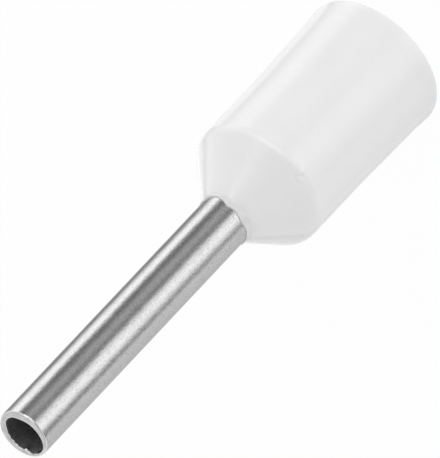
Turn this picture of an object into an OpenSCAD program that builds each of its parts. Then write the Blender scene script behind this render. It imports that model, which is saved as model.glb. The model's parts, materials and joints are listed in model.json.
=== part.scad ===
// Insulated wire ferrule for stranded wire of 0.5 mm2: a thin tube, belled at its rear end,
// held in a moulded collar. The axis is +Z, with the collar's mouth at z = 0 and the tip on top.
// All sizes are in millimetres.

/* [Contact sleeve] */
// Length of the sleeve in front of the collar
pin_l = 8; // [5:0.5:12]
// Diameter of the bore that takes the bare strands
conductor_d = 1; // [0.8:0.05:1.4]
// Thickness of the tube's wall
sleeve_wall = 0.15; // [0.1:0.01:0.2]
// Half-angle of the belled rear end
bell_angle = 22; // [18:1:35]
// Radius of the bend between the tube and the bell, on its outer side
bell_round = 2.6; // [0.5:0.1:3]
// Radius of the tip's outer edge
tip_round = 0.05; // [0.02:0.01:0.08]
// Width of the chamfer on the tip's inner edge
inner_chamfer = 0.02; // [0.01:0.01:0.05]

/* [Insulating collar] */
// Length of the collar, from its mouth to its nose
collar_l = 6.15; // [5.75:0.05:9]
// Diameter of the bore that takes the wire's insulation
insulation_d = 2.6; // [2.2:0.1:3.2]
// Depth of that bore, from the mouth to the edge of the bell
insulation_l = 3.5; // [2.5:0.1:3.8]
// Wall of the collar at its shoulder
collar_wall = 0.39; // [0.32:0.01:0.6]
// Widening of the skirt's radius over its tapered length
skirt_taper = 0.05; // [0.01:0.005:0.08]
// Height above the mouth where that taper starts
taper_l = 2.7; // [1:0.1:3.2]

/* [Mouth] */
// Widening of the radius from the skirt to the lip of the mouth
lip_flare = 0.035; // [0.02:0.005:0.1]
// Height of the flared lip
lip_l = 0.5; // [0.3:0.05:0.7]
// Radius of the lip's outer edge
lip_round = 0.04; // [0.02:0.01:0.1]
// Radius of the blend between the skirt and the lip
lip_blend = 1.5; // [0.5:0.1:2.5]
// Width of the funnel that leads the wire into the mouth
lead_w = 0.24; // [0.1:0.01:0.3]
// Depth of that funnel
lead_l = 0.55; // [0.3:0.05:1]
// Radius of the mouth's inner edge
mouth_round = 0.03; // [0.01:0.01:0.04]

/* [Nose] */
// Half-angle of the cone between the nose and the shoulder
nose_angle = 39; // [32:1:50]
// Thickness of the ring of plastic round the sleeve at the nose
nose_ring = 0.03; // [0.03:0.01:0.1]
// Height of that ring in front of the cone
nose_ring_l = 0.155; // [0.12:0.005:0.4]
// Widening of the ring towards the cone
nose_draft = 0.01; // [0.005:0.005:0.03]
// Radius of the ring's front edge
nose_round = 0.015; // [0.005:0.005:0.02]
// Radius of the fillet between the ring and the cone
nose_fillet = 0.06; // [0.04:0.02:0.2]
// Radius of the shoulder between the cone and the skirt
shoulder_round = 0.32; // [0.1:0.02:0.6]

/* [Hidden] */
$fn = 96;

// How far a cut runs past the face that it opens
overrun = 1;
// How far an arc passes its tangent edges, so that it always crosses them cleanly
hair = 0.0001;
sleeve_r = conductor_d / 2 + sleeve_wall;
bore_r = insulation_d / 2;
bell_turn_z = insulation_l + (bore_r - sleeve_r) / tan(bell_angle);
tip_z = collar_l + pin_l;

mouth_r = bore_r + lead_w;
skirt_r = bore_r + collar_wall;
skirt_foot_r = skirt_r + skirt_taper;
lip_r = skirt_foot_r + lip_flare;
ring_r = sleeve_r + nose_ring;
cone_top_r = ring_r + nose_draft;
cone_top_z = collar_l - nose_ring_l;
shoulder_z = cone_top_z - (skirt_r - cone_top_r) / tan(nose_angle);

tin = [0.74, 0.74, 0.73];
white_plastic = [0.93, 0.93, 0.92];

function toward(p, q, reach) = p + (q - p) * reach / norm(q - p);
function half_angle(a, p, b) = acos((a - p) * (b - p) / norm(a - p) / norm(b - p)) / 2;

// Centre of an arc in corner p that is tangent to the edges towards a and b
function arc_centre(a, p, b, radius) =
    toward(p, toward(p, a, 1) + toward(p, b, 1) - p, radius / sin(half_angle(a, p, b)));

// The two points where that arc meets the edges
function tangents(a, p, b, radius) =
    let (reach = radius / tan(half_angle(a, p, b))) [toward(p, a, reach), toward(p, b, reach)];

// The full circle of that arc. Taken off an inner corner that is filled up to its tangents,
// it leaves a fillet.
module corner_circle(a, p, b, radius) {
    translate(arc_centre(a, p, b, radius)) circle(radius + hair);
}

// What lies over an outer corner p, outside that arc
module corner_round(a, p, b, radius) {
    centre = arc_centre(a, p, b, radius);
    ends = tangents(a, p, b, radius);
    difference() {
        polygon([centre, 2 * ends[0] - centre, 2 * p - centre, 2 * ends[1] - centre]);
        corner_circle(a, p, b, radius);
    }
}

// Half-section of the space inside the sleeve's outer skin, or inside its wall when inset
// by it, from z = foot to z = head
module sleeve_section(inset, foot, head) {
    r = sleeve_r - inset;
    turn = [r, bell_turn_z - inset * tan(bell_angle / 2)];
    edge = [r + (turn[1] - foot) * tan(bell_angle), foot];
    top = [r, head];
    difference() {
        polygon([[0, foot], edge, each tangents(edge, turn, top, bell_round + inset), top, [0, head]]);
        corner_circle(edge, turn, top, bell_round + inset);
    }
}

// Tin-plated copper tube with a belled rear end
module contact_sleeve() {
    outer_edge = [sleeve_r, tip_z];
    inner_edge = [conductor_d / 2, tip_z];
    color(tin) rotate_extrude() difference() {
        sleeve_section(0, insulation_l, tip_z);
        sleeve_section(sleeve_wall, insulation_l - overrun, tip_z + overrun);
        corner_round([sleeve_r, 0], outer_edge, inner_edge, tip_round);
        translate(inner_edge) rotate(45) square(inner_chamfer * sqrt(2), center = true);
    }
}

module collar_outline() {
    foot = [0, 0];
    lip = [lip_r, 0];
    lip_top = [skirt_foot_r, lip_l];
    taper_top = [skirt_r, taper_l];
    shoulder = [skirt_r, shoulder_z];
    cone_top = [cone_top_r, cone_top_z];
    ring = [ring_r, collar_l];
    nose = [0, collar_l];
    difference() {
        polygon([
            foot, lip, each tangents(lip, lip_top, taper_top, lip_blend), taper_top,
            shoulder, each tangents(shoulder, cone_top, ring, nose_fillet), ring, nose
        ]);
        corner_round(foot, lip, lip_top, lip_round);
        corner_circle(lip, lip_top, taper_top, lip_blend);
        corner_round(taper_top, shoulder, cone_top, shoulder_round);
        corner_circle(shoulder, cone_top, ring, nose_fillet);
        corner_round(cone_top, ring, nose, nose_round);
    }
}

// Half-section of the mouth's funnel and the bore for the insulation
module insulation_space() {
    outside = [lip_r, 0];
    mouth = [mouth_r, 0];
    throat = [bore_r, lead_l];
    edge = tangents(outside, mouth, throat, mouth_round);
    difference() {
        polygon([[0, -overrun], [edge[0][0], -overrun], edge[0], edge[1], throat,
                 [bore_r, insulation_l], [0, insulation_l]]);
        corner_circle(outside, mouth, throat, mouth_round);
    }
}

// Moulded collar, closed round the sleeve and its bell
module insulating_collar() {
    color(white_plastic) rotate_extrude() difference() {
        collar_outline();
        insulation_space();
        sleeve_section(0, insulation_l, collar_l + overrun);
    }
}

contact_sleeve();
insulating_collar();
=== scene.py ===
"""Insulated wire ferrule: a tin-plated sleeve, belled inside a white moulded collar."""
import json
import math

import bpy
from mathutils import Matrix, Vector


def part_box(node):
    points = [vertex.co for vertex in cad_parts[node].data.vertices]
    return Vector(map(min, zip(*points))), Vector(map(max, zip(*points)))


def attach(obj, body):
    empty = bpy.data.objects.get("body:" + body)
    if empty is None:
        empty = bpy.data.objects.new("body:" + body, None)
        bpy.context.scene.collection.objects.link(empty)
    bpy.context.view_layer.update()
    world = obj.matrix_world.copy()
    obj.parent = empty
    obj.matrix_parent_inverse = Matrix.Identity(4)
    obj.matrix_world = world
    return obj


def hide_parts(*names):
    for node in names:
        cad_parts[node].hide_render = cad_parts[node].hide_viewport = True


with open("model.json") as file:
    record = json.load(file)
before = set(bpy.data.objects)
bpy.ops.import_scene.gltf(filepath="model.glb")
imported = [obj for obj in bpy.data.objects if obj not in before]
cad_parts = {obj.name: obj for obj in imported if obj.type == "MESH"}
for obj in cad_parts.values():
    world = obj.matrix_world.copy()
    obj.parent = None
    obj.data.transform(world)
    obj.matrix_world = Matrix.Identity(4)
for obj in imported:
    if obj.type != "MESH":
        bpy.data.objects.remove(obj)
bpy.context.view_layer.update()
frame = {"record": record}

MM = 0.001

mounts = {mount["name"]: mount for mount in frame["record"]["mounts"]}
pin_r = mounts["sleeve_pin"]["dims"]["r_mm"] * MM
strand_r = mounts["conductor_bore"]["dims"]["r_mm"] * MM
wire_r = mounts["wire_entry"]["dims"]["r_mm"] * MM
bell_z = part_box("contact_sleeve")[0].z
tip_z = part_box("contact_sleeve")[1].z
nose_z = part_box("insulating_collar")[1].z

# ---------------------------------------------------------------- profiles
SEGMENTS = 192

BELL_ANGLE = math.radians(22)
BELL_ROUND = 2.6 * MM
TIP_ROUND = 0.05 * MM
TIP_CHAMFER = 0.02 * MM

COLLAR_WALL = 0.39 * MM
SKIRT_TAPER = 0.05 * MM
TAPER_Z = 2.7 * MM
LIP_FLARE = 0.035 * MM
LIP_Z = 0.5 * MM
LIP_ROUND = 0.04 * MM
LIP_BLEND = 1.5 * MM
LEAD_W = 0.24 * MM
LEAD_Z = 0.55 * MM
MOUTH_ROUND = 0.03 * MM
NOSE_ANGLE = math.radians(39)
NOSE_RING = 0.03 * MM
NOSE_RING_L = 0.155 * MM
NOSE_DRAFT = 0.01 * MM
NOSE_ROUND = 0.015 * MM
NOSE_FILLET = 0.06 * MM
SHOULDER_ROUND = 0.32 * MM
# The collar's seat stands this far off the sleeve, so that their skins don't coincide
SEAT_GAP = 0.001 * MM

# How close to a circle or a level a point counts as lying on it
NEAR = 0.001 * MM

# Shearing the sleeve to length presses its bore out of round: how far below the tip, and what share of it
# is left there
PRESSED = [(0, 1), (0.04 * MM, 0.95), (0.12 * MM, 0.7), (0.3 * MM, 0.35), (0.6 * MM, 0.1)]
PRESSED_SCALE = Vector((1.06, 0.93, 1))
PRESSED_SHIFT = Vector((-0.04, 0.016, 0)) * MM
# Where the shears press that edge inwards: a bearing, and steps of (half-width in degrees, how far inwards,
# how far upwards) that add up towards its middle
PRESSED_IN = [
    (228, [(26, 0.007 * MM, 0), (18, 0.008 * MM, 0), (10, 0.008 * MM, 0)]),
    (137, [(22, 0.009 * MM, 0), (14, 0.010 * MM, 0), (8, 0.010 * MM, 0)]),
    (320, [(26, 0.006 * MM, 0), (17, 0.008 * MM, 0), (9, 0.006 * MM, 0)]),
]
# Chips of metal on that edge, and a nick beside the largest, in the same form
CHIPS = [
    (143, [(8, 0.014 * MM, 0), (5, 0.016 * MM, -0.004 * MM), (3, 0.014 * MM, -0.004 * MM)]),
    (125, [(6, -0.014 * MM, 0)]),
    (186, [(6, 0.010 * MM, -0.004 * MM), (3, 0.010 * MM, -0.003 * MM)]),
    (172, [(4, 0.012 * MM, -0.003 * MM)]),
    (205, [(5, 0.009 * MM, 0)]),
]
# How far below the tip these reach, and how far below it the chips start
SHEARED_DEPTH = 0.05 * MM
CHIPS_BELOW = 0.003 * MM
# How the collar's front edge departs from a plane: a bearing, and steps of (half-width in degrees, how far
# up)
NOSE_EDGE = [
    (-57, [(38, -0.02 * MM), (32, -0.02 * MM), (26, -0.02 * MM), (20, -0.02 * MM), (13, -0.02 * MM)]),
    (28, [(22, 0.015 * MM), (15, 0.015 * MM), (9, 0.015 * MM)]),
    (-17, [(10, 0.008 * MM), (6, 0.008 * MM)]),
]
# Marks on the shoulder, as a bearing, a height, a reach and a rise. Where the plastic was let into the mould,
# there is a swelling with a dimple in it. The others are scuffs.
MARKS = [
    (15.5, 4.68 * MM, 0.20 * MM, 0.024 * MM),
    (20.5, 4.80 * MM, 0.17 * MM, 0.024 * MM),
    (20.8, 4.81 * MM, 0.10 * MM, -0.036 * MM),
    (7.0, 4.75 * MM, 0.10 * MM, 0.008 * MM),
    (-12.0, 4.57 * MM, 0.08 * MM, 0.005 * MM),
    (17.3, 4.32 * MM, 0.11 * MM, 0.006 * MM),
    (11.2, 4.25 * MM, 0.06 * MM, 0.004 * MM),
    (8.0, 4.10 * MM, 0.09 * MM, 0.006 * MM),
    (8.8, 3.84 * MM, 0.10 * MM, 0.008 * MM),
    (2.3, 3.77 * MM, 0.09 * MM, 0.008 * MM),
    (-5.9, 3.81 * MM, 0.10 * MM, 0.006 * MM),
    (-13.4, 4.07 * MM, 0.16 * MM, 0.007 * MM),
    (-18.0, 3.80 * MM, 0.09 * MM, 0.007 * MM),
]
# The middle of a mark, which moves by its whole rise
MARK_CORE = 0.015 * MM
# The stretch of the collar that they lie on, and the bands that its skin is divided into there
MARKED_LOW, MARKED_HIGH = 3.6 * MM, 5.02 * MM
MARKED_FROM, MARKED_TO = -24, 30
SKIRT_BANDS = 10
SKIRT_BAND = 0.1 * MM
CONE_BANDS = (4.9 * MM, 4.95 * MM, MARKED_HIGH)


def rounded(corners):
    """Points of a closed outline, whose corners are (r, z, radius of the arc in it, steps of that arc)."""
    points = []
    for i, (r, z, radius, steps) in enumerate(corners):
        p = Vector((r, z))
        if not radius:
            points.append(p)
            continue
        before = (Vector(corners[i - 1][:2]) - p).normalized()
        after = (Vector(corners[(i + 1) % len(corners)][:2]) - p).normalized()
        half = before.angle(after) / 2
        centre = p + (before + after).normalized() * radius / math.sin(half)
        start = p + before * radius / math.tan(half) - centre
        end = p + after * radius / math.tan(half) - centre
        turn = start.angle_signed(end)
        for k in range(steps + 1):
            spoke = start.copy()
            spoke.rotate(Matrix.Rotation(-turn * k / steps, 2))
            points.append(centre + spoke)
    return points


def nothing_selected():
    if bpy.context.object and bpy.context.object.mode != "OBJECT":
        bpy.ops.object.mode_set(mode="OBJECT")
    bpy.ops.object.select_all(action="DESELECT")


def turned(name, points):
    """A closed ring of revolution about the axis: a circle that is extruded from point to point."""
    nothing_selected()
    first = points[0]
    bpy.ops.mesh.primitive_circle_add(vertices=SEGMENTS, radius=first.x, location=(0, 0, first.y))
    piece = bpy.context.object
    piece.name = name
    bpy.ops.object.transform_apply(location=True, rotation=True, scale=True)
    bpy.ops.object.mode_set(mode="EDIT")
    bpy.ops.mesh.select_all(action="SELECT")
    for last, point in zip(points, points[1:] + points[:1]):
        bpy.ops.mesh.extrude_edges_move(
            TRANSFORM_OT_translate={"value": (0, 0, point.y - last.y)})
        scale = point.x / last.x
        bpy.ops.transform.resize(value=(scale, scale, 1), center_override=(0, 0, point.y))
    bpy.ops.mesh.select_all(action="SELECT")
    bpy.ops.mesh.remove_doubles(threshold=1e-8)
    bpy.ops.mesh.normals_make_consistent(inside=False)
    bpy.ops.object.mode_set(mode="OBJECT")
    bpy.ops.object.shade_smooth_by_angle(angle=math.radians(30))
    return piece


def choose_points(piece, wanted):
    """Go into edit mode on a piece, with only the points selected that wanted(place) picks."""
    nothing_selected()
    piece.select_set(True)
    bpy.context.view_layer.objects.active = piece
    bpy.ops.object.mode_set(mode="EDIT")
    bpy.ops.mesh.select_mode(type="VERT")
    bpy.ops.mesh.select_all(action="DESELECT")
    bpy.ops.object.mode_set(mode="OBJECT")
    for vertex in piece.data.vertices:
        vertex.select = wanted(vertex.co)
    bpy.ops.object.mode_set(mode="EDIT")


def bearing(place):
    """Degrees from the front, -Y, clockwise from above, from 0 to 360."""
    return math.degrees(math.atan2(-place.x, -place.y)) % 360


def near_bearing(co, degrees, half_width):
    return abs((bearing(co) - degrees + 180) % 360 - 180) < half_width


def toward(degrees):
    """The level direction of a bearing."""
    return Vector((-math.sin(math.radians(degrees)), -math.cos(math.radians(degrees)), 0))


# ---------------------------------------------------------------- sleeve
bell_turn_z = bell_z + (wire_r - pin_r) / math.tan(BELL_ANGLE)
wall = pin_r - strand_r
inner_turn_z = bell_turn_z - wall * math.tan(BELL_ANGLE / 2)
inner_edge_r = strand_r + (inner_turn_z - bell_z) * math.tan(BELL_ANGLE)

sleeve = turned("tin_plated_sleeve", rounded([
    (wire_r, bell_z, 0, 0),
    (pin_r, bell_turn_z, BELL_ROUND, 12),
    (pin_r, tip_z, TIP_ROUND, 8),
    (strand_r, tip_z, TIP_CHAMFER, 4),
    *((strand_r, tip_z - depth, 0, 0) for depth, share in PRESSED[1:]),
    (strand_r, inner_turn_z, BELL_ROUND + wall, 12),
    (inner_edge_r, bell_z, 0, 0),
]))


def press_bore():
    """Press the bore's edge at the tip out of round, fading down the bore."""
    for depth, share in PRESSED:
        low = tip_z - max(depth, TIP_CHAMFER) - NEAR
        high = tip_z - depth + NEAR
        widest = strand_r + TIP_CHAMFER + NEAR
        choose_points(sleeve, lambda co: low < co.z < high and co.xy.length < widest)
        scale = Vector((1, 1, 1)).lerp(PRESSED_SCALE, share)
        bpy.ops.transform.resize(value=scale, center_override=(0, 0, tip_z))
        bpy.ops.transform.translate(value=PRESSED_SHIFT * share)
        bpy.ops.object.mode_set(mode="OBJECT")


def shape_tip():
    """Press the bore's edge inwards, and leave chips on its chamfer."""
    low = tip_z - SHEARED_DEPTH
    widest = pin_r - TIP_ROUND - NEAR
    for marks, high in ((PRESSED_IN, tip_z + NEAR), (CHIPS, tip_z - CHIPS_BELOW)):
        for degrees, steps in marks:
            for half_width, inwards, upwards in steps:
                choose_points(sleeve, lambda co: (
                    low < co.z < high and co.xy.length < widest and near_bearing(co, degrees, half_width)))
                bpy.ops.transform.translate(value=toward(degrees) * -inwards + Vector((0, 0, upwards)))
                bpy.ops.object.mode_set(mode="OBJECT")


press_bore()
shape_tip()

# ---------------------------------------------------------------- collar
skirt_r = wire_r + COLLAR_WALL
skirt_foot_r = skirt_r + SKIRT_TAPER
lip_r = skirt_foot_r + LIP_FLARE
ring_r = pin_r + NOSE_RING
cone_top_r = ring_r + NOSE_DRAFT
cone_top_z = nose_z - NOSE_RING_L
shoulder_z = cone_top_z - (skirt_r - cone_top_r) / math.tan(NOSE_ANGLE)

cone_bands = [(skirt_r - (z - shoulder_z) * math.tan(NOSE_ANGLE), z, 0, 0) for z in CONE_BANDS]

collar = turned("moulded_collar", rounded([
    (wire_r, LEAD_Z, 0, 0),
    (wire_r + LEAD_W, 0, MOUTH_ROUND, 4),
    (lip_r, 0, LIP_ROUND, 6),
    (skirt_foot_r, LIP_Z, LIP_BLEND, 6),
    (skirt_r, TAPER_Z, 0, 0),
    *((skirt_r, MARKED_LOW + band * SKIRT_BAND, 0, 0) for band in range(SKIRT_BANDS)),
    (skirt_r, shoulder_z, SHOULDER_ROUND, 14),
    *cone_bands,
    (cone_top_r, cone_top_z, NOSE_FILLET, 8),
    (ring_r, nose_z, NOSE_ROUND, 4),
    (pin_r + SEAT_GAP, nose_z, 0, 0),
    (pin_r + SEAT_GAP, bell_turn_z, BELL_ROUND, 12),
    (wire_r + SEAT_GAP, bell_z, 0, 0),
    (wire_r, bell_z, 0, 0),
]))


def shape_nose():
    """Let the collar's front edge run uneven round the sleeve."""
    low = cone_top_z + NOSE_FILLET
    for degrees, steps in NOSE_EDGE:
        for half_width, upwards in steps:
            choose_points(collar, lambda co: co.z > low and near_bearing(co, degrees, half_width))
            bpy.ops.transform.translate(value=(0, 0, upwards))
            bpy.ops.object.mode_set(mode="OBJECT")


def add_marks():
    """Divide the skin round the shoulder finely, and raise or sink each mark in it."""
    choose_points(collar, lambda co: (
        MARKED_LOW < co.z < MARKED_HIGH and co.xy.length > wire_r
        and near_bearing(co, (MARKED_FROM + MARKED_TO) / 2, (MARKED_TO - MARKED_FROM) / 2)))
    bpy.ops.mesh.subdivide(number_cuts=3, quadcorner="INNERVERT")
    bpy.ops.object.mode_set(mode="OBJECT")
    for degrees, z, reach, rise in MARKS:
        far = toward(degrees) * skirt_r + Vector((0, 0, z))
        found, place, normal, face = collar.closest_point_on_mesh(far)
        choose_points(collar, lambda co: (co - place).length < MARK_CORE)
        bpy.ops.transform.translate(
            value=normal * rise, use_proportional_edit=True, use_proportional_connected=True,
            proportional_edit_falloff="SMOOTH", proportional_size=reach)
        bpy.ops.object.mode_set(mode="OBJECT")


add_marks()
shape_nose()


# ---------------------------------------------------------------- materials
def material(name):
    made = bpy.data.materials.new(name)
    made.use_nodes = True
    nodes = made.node_tree.nodes
    nodes.clear()
    return made, nodes, made.node_tree.links


def principled(nodes, links):
    out = nodes.new("ShaderNodeOutputMaterial")
    shader = nodes.new("ShaderNodeBsdfPrincipled")
    links.new(shader.outputs["BSDF"], out.inputs["Surface"])
    return shader


def noise(nodes, links, vector, scale, detail, roughness=0.5):
    made = nodes.new("ShaderNodeTexNoise")
    made.inputs["Scale"].default_value = scale
    made.inputs["Detail"].default_value = detail
    made.inputs["Roughness"].default_value = roughness
    links.new(vector, made.inputs["Vector"])
    return made.outputs["Fac"]


def mapped(nodes, links, scale=(1, 1, 1)):
    coords = nodes.new("ShaderNodeTexCoord")
    mapping = nodes.new("ShaderNodeMapping")
    mapping.inputs["Scale"].default_value = scale
    links.new(coords.outputs["Object"], mapping.inputs["Vector"])
    return mapping.outputs["Vector"]


def ranged(nodes, links, value, low, high, from_low=0.3, from_high=0.7, kind="LINEAR"):
    made = nodes.new("ShaderNodeMapRange")
    made.interpolation_type = kind
    made.inputs["From Min"].default_value = from_low
    made.inputs["From Max"].default_value = from_high
    made.inputs["To Min"].default_value = low
    made.inputs["To Max"].default_value = high
    links.new(value, made.inputs["Value"])
    return made.outputs["Result"]


def math_node(nodes, links, operation, a, b):
    """A Math node on two values, each a socket or a number."""
    made = nodes.new("ShaderNodeMath")
    made.operation = operation
    for value, socket in zip((a, b), made.inputs):
        if isinstance(value, (int, float)):
            socket.default_value = value
        else:
            links.new(value, socket)
    return made.outputs[0]


def greys(nodes, links, value, stops):
    """A ramp of greys, from (position, grey) stops."""
    ramp = nodes.new("ShaderNodeValToRGB")
    elements = ramp.color_ramp.elements
    while len(elements) < len(stops):
        elements.new(0.5)
    for element, (position, grey) in zip(elements, stops):
        element.position = position
        element.color = (grey, grey, grey, 1)
    links.new(value, ramp.inputs["Fac"])
    return ramp


def bumped(nodes, links, height, distance, shader):
    bump = nodes.new("ShaderNodeBump")
    bump.inputs["Distance"].default_value = distance
    links.new(height, bump.inputs["Height"])
    links.new(bump.outputs["Normal"], shader.inputs["Normal"])


def tin_plating():
    made, nodes, links = material("tin_plating")
    shader = principled(nodes, links)
    shader.inputs["Metallic"].default_value = 1
    grain = noise(nodes, links, mapped(nodes, links, (1, 1, 0.7)), 26000, 2, 0.6)
    cloud = noise(nodes, links, mapped(nodes, links, (1, 1, 0.6)), 3000, 3)
    ramp = greys(nodes, links, grain, [(0.28, 0.56), (0.45, 0.79), (0.6, 0.82), (0.75, 0.97)])
    links.new(ramp.outputs["Color"], shader.inputs["Base Color"])
    links.new(ranged(nodes, links, cloud, 0.10, 0.20), shader.inputs["Roughness"])
    height = math_node(nodes, links, "ADD", grain, math_node(nodes, links, "MULTIPLY", cloud, 4))
    bumped(nodes, links, height, 0.002 * MM, shader)
    return made


def sheared_edge():
    """The cut end, with streaks along the way that the shears went."""
    made, nodes, links = material("sheared_edge")
    shader = principled(nodes, links)
    shader.inputs["Metallic"].default_value = 1
    streak = noise(nodes, links, mapped(nodes, links, (0.3, 1, 1)), 14000, 3, 0.6)
    ramp = greys(nodes, links, streak, [(0.3, 0.70), (0.5, 0.86), (0.7, 0.97)])
    links.new(ramp.outputs["Color"], shader.inputs["Base Color"])
    shader.inputs["Roughness"].default_value = 0.28
    bumped(nodes, links, streak, 0.006 * MM, shader)
    return made


# The bore's inside: its grey is darker than the tin outside, which is painted shade of the deep hole. Its
# rougher finish and grain are the metal's own.
def dull_bore_painted_shade():
    made, nodes, links = material("dull_bore_painted_shade")
    shader = principled(nodes, links)
    shader.inputs["Metallic"].default_value = 1
    grain = noise(nodes, links, mapped(nodes, links), 16000, 3, 0.6)
    # Painted shade: greys well below the tin's, for the dark inside of the hole
    ramp = greys(nodes, links, grain, [(0.3, 0.42), (0.7, 0.58)])
    links.new(ramp.outputs["Color"], shader.inputs["Base Color"])
    shader.inputs["Roughness"].default_value = 0.5
    bumped(nodes, links, grain, 0.003 * MM, shader)
    return made


def white_polypropylene():
    made, nodes, links = material("white_polypropylene")
    shader = principled(nodes, links)
    cloud = noise(nodes, links, mapped(nodes, links), 900, 3)
    ramp = greys(nodes, links, cloud, [(0.3, 0.87), (0.7, 0.89)])
    links.new(ramp.outputs["Color"], shader.inputs["Base Color"])
    shader.inputs["Roughness"].default_value = 0.15
    shader.inputs["IOR"].default_value = 1.5
    shader.inputs["Specular IOR Level"].default_value = 0.75
    shader.inputs["Subsurface Weight"].default_value = 0.6
    shader.inputs["Subsurface Radius"].default_value = (1, 1, 1)
    shader.inputs["Subsurface Scale"].default_value = 0.12 * MM
    fine = noise(nodes, links, mapped(nodes, links), 9000, 3)
    bumped(nodes, links, fine, 0.0006 * MM, shader)
    return made


sleeve.data.materials.append(tin_plating())
sleeve.data.materials.append(dull_bore_painted_shade())
sleeve.data.materials.append(sheared_edge())
collar.data.materials.append(white_polypropylene())

# The bore below the tip takes the material with the painted shade
choose_points(sleeve, lambda co: (
    co.z < tip_z - 0.9 * TIP_CHAMFER and co.xy.length < strand_r + 0.06 * MM and co.z > inner_turn_z))
sleeve.active_material_index = 1
bpy.ops.object.material_slot_assign()
bpy.ops.object.mode_set(mode="OBJECT")
choose_points(sleeve, lambda co: co.z > tip_z - 0.9 * TIP_CHAMFER and co.xy.length < pin_r - 0.5 * TIP_ROUND)
sleeve.active_material_index = 2
bpy.ops.object.material_slot_assign()
bpy.ops.object.mode_set(mode="OBJECT")

for piece, node, slot in (
    (sleeve, "contact_sleeve", "tin_plated_copper"),
    (collar, "insulating_collar", "white_polypropylene"),
):
    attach(piece, "root")
    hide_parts(node)


# ---------------------------------------------------------------- studio
def stage_plane(name, size, z):
    nothing_selected()
    bpy.ops.mesh.primitive_plane_add(size=size, location=(0, 0, z))
    made = bpy.context.object
    made.name = name
    return made


# Share of the floor's own glow in what the camera and gloss see of it. The rest takes shadows.
FLOOR_GLOW = 0.96


def floor_paint():
    made, nodes, links = material("floor_paint")
    out = nodes.new("ShaderNodeOutputMaterial")
    paint = nodes.new("ShaderNodeBsdfDiffuse")
    paint.inputs["Color"].default_value = (0.95, 0.95, 0.95, 1)
    glow = nodes.new("ShaderNodeEmission")
    path = nodes.new("ShaderNodeLightPath")
    seen = math_node(nodes, links, "MAXIMUM", path.outputs["Is Camera Ray"], path.outputs["Is Glossy Ray"])
    seen = math_node(nodes, links, "MAXIMUM", seen, path.outputs["Is Transmission Ray"])
    mix = nodes.new("ShaderNodeMixShader")
    links.new(ranged(nodes, links, seen, 1, FLOOR_GLOW, 0, 1), mix.inputs["Fac"])
    links.new(paint.outputs["BSDF"], mix.inputs[1])
    links.new(glow.outputs["Emission"], mix.inputs[2])
    links.new(mix.outputs["Shader"], out.inputs["Surface"])
    return made


floor = stage_plane("floor", 2, 0)
floor.data.materials.append(floor_paint())
# Gloss on the ferrule shows the cards below it, not the floor
floor.visible_glossy = False

# Strength of what lies round the ferrule below its horizon, by bearing in degrees from the front, clockwise
CARDS = [
    (-180, 1.00), (-167, 0.70), (-157, 0.45), (-142, 0.27), (-131, 0.27), (-119, 0.55), (-108, 0.96),
    (-98, 1.13), (-88, 1.16), (-82, 1.02), (-75, 0.52), (-67, 0.23), (-58, 0.18), (-50, 0.25), (-42, 0.35),
    (-32, 0.40), (-24, 0.36), (-12, 0.25), (-6, 0.27), (0, 0.44), (6, 0.74), (14, 0.94), (30, 1.10),
    (38, 1.02), (47, 0.82), (58, 0.50), (66, 0.38), (73, 0.51), (80, 0.65), (158, 0.52),
    (170, 0.70), (180, 1.00),
]


def placed(degrees, elevation, distance=1.0):
    """A place round the ferrule's middle, by bearing and elevation in degrees."""
    level = math.cos(math.radians(elevation)) * distance
    return toward(degrees) * level + Vector((0, 0, math.sin(math.radians(elevation)) * distance))


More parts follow.
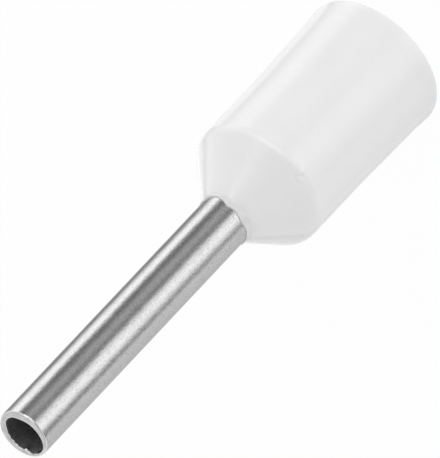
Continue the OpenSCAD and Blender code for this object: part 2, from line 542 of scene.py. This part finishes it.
def studio_world():
    world = bpy.data.worlds.new("studio")
    bpy.context.scene.world = world
    world.use_nodes = True
    nodes, links = world.node_tree.nodes, world.node_tree.links
    nodes.clear()
    out = nodes.new("ShaderNodeOutputWorld")
    coords = nodes.new("ShaderNodeTexCoord")
    parts = nodes.new("ShaderNodeSeparateXYZ")
    links.new(coords.outputs["Generated"], parts.inputs[0])
    # Above the horizon: a little lighter towards -X and in front, and much darker overhead
    side = ranged(nodes, links, parts.outputs["X"], 1.03, 0.96, -1, 1)
    depth = ranged(nodes, links, parts.outputs["Y"], 1.06, 1.0, -1, 1)
    height = ranged(nodes, links, parts.outputs["Z"], 1.08, 0.42, 0, 1)
    strength = math_node(nodes, links, "MULTIPLY", math_node(nodes, links, "MULTIPLY", side, depth), height)
    # Below the horizon, the cards
    flip_x = math_node(nodes, links, "MULTIPLY", parts.outputs["X"], -1)
    flip_y = math_node(nodes, links, "MULTIPLY", parts.outputs["Y"], -1)
    turn = math_node(nodes, links, "ARCTAN2", flip_x, flip_y)
    place = ranged(nodes, links, turn, 0, 1, -math.pi, math.pi)
    ramp = greys(nodes, links, place, [((degrees + 180) / 360, card / 2) for degrees, card in CARDS])
    cards = math_node(nodes, links, "MULTIPLY", ramp.outputs["Color"], 2)
    below = ranged(nodes, links, parts.outputs["Z"], 1, 0, -0.06, 0.0)
    over = math_node(nodes, links, "MULTIPLY", strength, math_node(nodes, links, "SUBTRACT", 1, below))
    under = math_node(nodes, links, "MULTIPLY", cards, below)
    strength = math_node(nodes, links, "ADD", over, under)
    # Darker patches in front, behind, and at the two places that the tip's outer edge shows, then lit ones:
    # overhead, and low behind on either side
    for centre, inner, outer, operation, change in (
        (placed(0, 32), 16, 36, "MULTIPLY", 0.5), (placed(180, 35), 16, 32, "MULTIPLY", 0.9),
        (placed(180, -2), 6, 22, "MULTIPLY", 0.5), (placed(60, -8), 12, 26, "MULTIPLY", 0.35),
        (placed(-60, 74), 12, 30, "ADD", 0.6), (placed(-160, -16), 8, 19, "ADD", 0.6),
        (placed(160, -16), 8, 19, "ADD", 0.3),
    ):
        toward_patch = nodes.new("ShaderNodeVectorMath")
        toward_patch.operation = "DOT_PRODUCT"
        toward_patch.inputs[1].default_value = centre
        links.new(coords.outputs["Generated"], toward_patch.inputs[0])
        neutral = 1 if operation == "MULTIPLY" else 0
        patch = ranged(nodes, links, toward_patch.outputs["Value"], neutral, change,
                       math.cos(math.radians(outer)), math.cos(math.radians(inner)), "SMOOTHSTEP")
        strength = math_node(nodes, links, operation, strength, patch)
    studio = nodes.new("ShaderNodeBackground")
    links.new(strength, studio.inputs["Strength"])
    white = nodes.new("ShaderNodeBackground")
    path = nodes.new("ShaderNodeLightPath")
    mix = nodes.new("ShaderNodeMixShader")
    links.new(path.outputs["Is Camera Ray"], mix.inputs["Fac"])
    links.new(studio.outputs["Background"], mix.inputs[1])
    links.new(white.outputs["Background"], mix.inputs[2])
    for background in (studio, white):
        background.inputs["Color"].default_value = (1, 1, 1, 1)
    links.new(mix.outputs["Shader"], out.inputs["Surface"])


studio_world()


# Height of the sheets above the floor
SHEET_Z = 0.01 * MM


def near_sheet(name, place, size, degrees, strength):
    """A white sheet beside the collar, which only its gloss sees."""
    sheet = stage_plane(name, 1, SHEET_Z)
    sheet.scale = (size[0], size[1], 1)
    sheet.location = place + Vector((0, 0, SHEET_Z))
    sheet.rotation_euler.z = math.radians(degrees)
    made, nodes, links = material(name)
    out = nodes.new("ShaderNodeOutputMaterial")
    glow = nodes.new("ShaderNodeEmission")
    glow.inputs["Strength"].default_value = strength
    links.new(glow.outputs["Emission"], out.inputs["Surface"])
    sheet.data.materials.append(made)
    sheet.visible_camera = False
    sheet.visible_diffuse = False
    sheet.visible_shadow = False
    sheet.visible_transmission = False
    sheet.visible_volume_scatter = False


# A sheet's near edge touches the skirt's side at one bearing and runs along another
SHEET_FROM, SHEET_ALONG = 66, 132
SHEET_W, SHEET_L = 5 * MM, 8.5 * MM
# How far along that edge its middle lies
SHEET_MIDDLE = 3.45 * MM

for name, side, strength in (("left_sheet", -1, 0.9), ("right_sheet", 1, 0.65)):
    edge_middle = toward(SHEET_FROM * side) * skirt_r + toward(SHEET_ALONG * side) * SHEET_MIDDLE
    near_sheet(name, edge_middle + toward((SHEET_ALONG + 90) * side) * SHEET_W / 2,
               (SHEET_W, SHEET_L), -SHEET_ALONG * side, strength)


def lamp(name, location, width, height, power):
    light = bpy.data.lights.new(name, "AREA")
    light.shape = "RECTANGLE"
    light.size = width
    light.size_y = height
    light.energy = power
    made = bpy.data.objects.new(name, light)
    bpy.context.scene.collection.objects.link(made)
    made.location = location + Vector((0, 0, tip_z / 2))
    made.rotation_euler = (-location).to_track_quat("-Z", "Y").to_euler()
    return made


rim = lamp("rim_lamp", placed(-150, 4, 0.6), 0.15, 0.15, 0.8)
rim.visible_glossy = False
lamp("key_lamp", placed(-28, 22, 0.6), 0.5, 0.36, 0.55)

# ---------------------------------------------------------------- camera
ELEVATION = math.radians(34.8)
ROLL = math.radians(223.29)
DISTANCE = 0.43
AIM = Vector((-0.057 * MM, 0, 6.335 * MM))
VIEW_WIDTH = 10.02 * MM


def camera_at():
    away = Vector((0, -math.cos(ELEVATION), math.sin(ELEVATION)))
    right = Vector((1, 0, 0))
    up = Vector((0, math.sin(ELEVATION), math.cos(ELEVATION)))
    image_x = right * math.cos(ROLL) + up * math.sin(ROLL)
    image_y = up * math.cos(ROLL) - right * math.sin(ROLL)
    data = bpy.data.cameras.new("camera")
    data.sensor_width = 36
    data.sensor_fit = "HORIZONTAL"
    data.lens = data.sensor_width * DISTANCE / VIEW_WIDTH
    data.clip_start = 0.05
    data.clip_end = 10
    camera = bpy.data.objects.new("camera", data)
    bpy.context.scene.collection.objects.link(camera)
    turn = Matrix((image_x, image_y, away)).transposed().to_4x4()
    camera.matrix_world = Matrix.Translation(AIM + away * DISTANCE) @ turn
    return camera


bpy.context.scene.camera = camera_at()
bpy.context.scene.view_settings.view_transform = "Standard"
